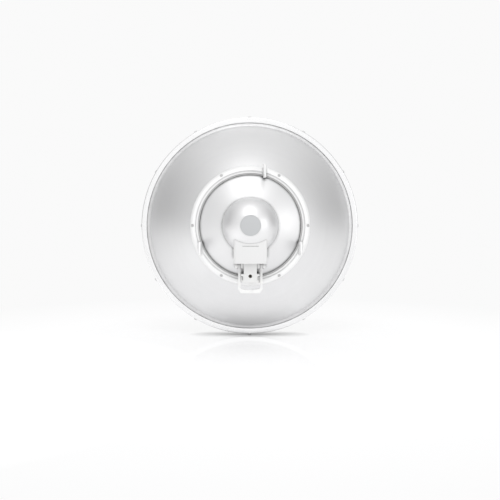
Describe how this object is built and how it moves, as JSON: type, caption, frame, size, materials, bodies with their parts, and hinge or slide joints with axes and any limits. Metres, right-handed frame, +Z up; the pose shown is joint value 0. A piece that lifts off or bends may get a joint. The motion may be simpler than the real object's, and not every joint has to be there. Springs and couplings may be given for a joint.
{
  "type": "outdoor wireless bridge",
  "caption": "Round dish antenna for a point-to-point outdoor radio link, with a shallow radome, a rain hood, a domed radio hub, a mounting ring with hooks and a spring latch bail.",
  "frame": {"origin": "on the dish axis, in the plane of the mounting ring's rear land, which meets the pole bracket", "axes": "+Y along the boresight towards the radome, +Z up when mounted on a pole, +X completes the right hand"},
  "size_m": [0.6552, 0.3052, 0.6552],
  "materials": {
    "reflector_paint": "satin",
    "band_aluminium": "satin",
    "radome_skin": "matte",
    "white_casting": "satin",
    "hub_shell": "satin",
    "end_disc_grey": "satin",
    "white_plastic": "satin",
    "dark_plastic": "matte",
    "stainless": "satin",
    "seal_rubber": "matte",
    "brass_insert": "satin",
    "board_green": "satin",
    "tin_shield": "satin",
    "cast_aluminium": "matte",
    "pad_grey": "matte",
    "light_pipe": "polished",
    "feed_plastic": "satin"
  },
  "bodies": {
    "antenna": {"reflector": "reflector_paint", "rim_band": "band_aluminium", "radome": "radome_skin", "radome_gasket": "seal_rubber", "rim_screws": "stainless", "rim_nuts": "stainless", "mount_ring": "white_casting", "ring_gasket": "seal_rubber", "ring_screws": "stainless", "ring_wedges": "cast_aluminium", "ring_nuts": "stainless", "hook_top": "white_casting", "hook_left": "white_casting", "hook_right": "white_casting", "hook_screws": "stainless", "latch_bracket": "white_plastic", "lock_insert": "brass_insert", "bracket_screws": "stainless", "foot_nut": "stainless", "latch_pins": "white_plastic", "hub_base": "hub_shell", "hub_dome": "hub_shell", "end_disc": "end_disc_grey", "dome_seal": "seal_rubber", "hub_gasket": "seal_rubber", "hub_screws": "stainless", "dome_screws": "stainless", "main_board": "board_green", "board_screws": "stainless", "board_standoffs": "brass_insert", "rf_shield": "tin_shield", "thermal_pad": "pad_grey", "heat_sink": "cast_aluminium", "ethernet_jack": "tin_shield", "port_bay": "dark_plastic", "light_pipes": "light_pipe", "vent_plug": "dark_plastic", "ground_screw": "stainless", "feed_flange": "cast_aluminium", "feed_seal": "seal_rubber", "feed_tube": "cast_aluminium", "feed_cone": "feed_plastic", "subreflector": "cast_aluminium"},
    "latch_bail": {"latch_bail": "white_plastic"},
    "port_cover": {"port_cover": "white_plastic"},
    "reset_button": {"reset_button": "dark_plastic"}
  },
  "joints": [
    {"name": "bail_hinge", "type": "hinge", "parent": "antenna", "child": "latch_bail", "pos_m": [0, -0.011, -0.112], "axis": [-1, 0, 0], "range_deg": [0, 45]},
    {"name": "cover_slide", "type": "slide", "parent": "antenna", "child": "port_cover", "axis": [0, 0, -1], "range_m": [0, 0.024]},
    {"name": "button_press", "type": "slide", "parent": "antenna", "child": "reset_button", "axis": [0, 0, 1], "range_m": [0, 0.0012], "stiffness_N_per_m": 500, "springref_m": -0.001}
  ]
}
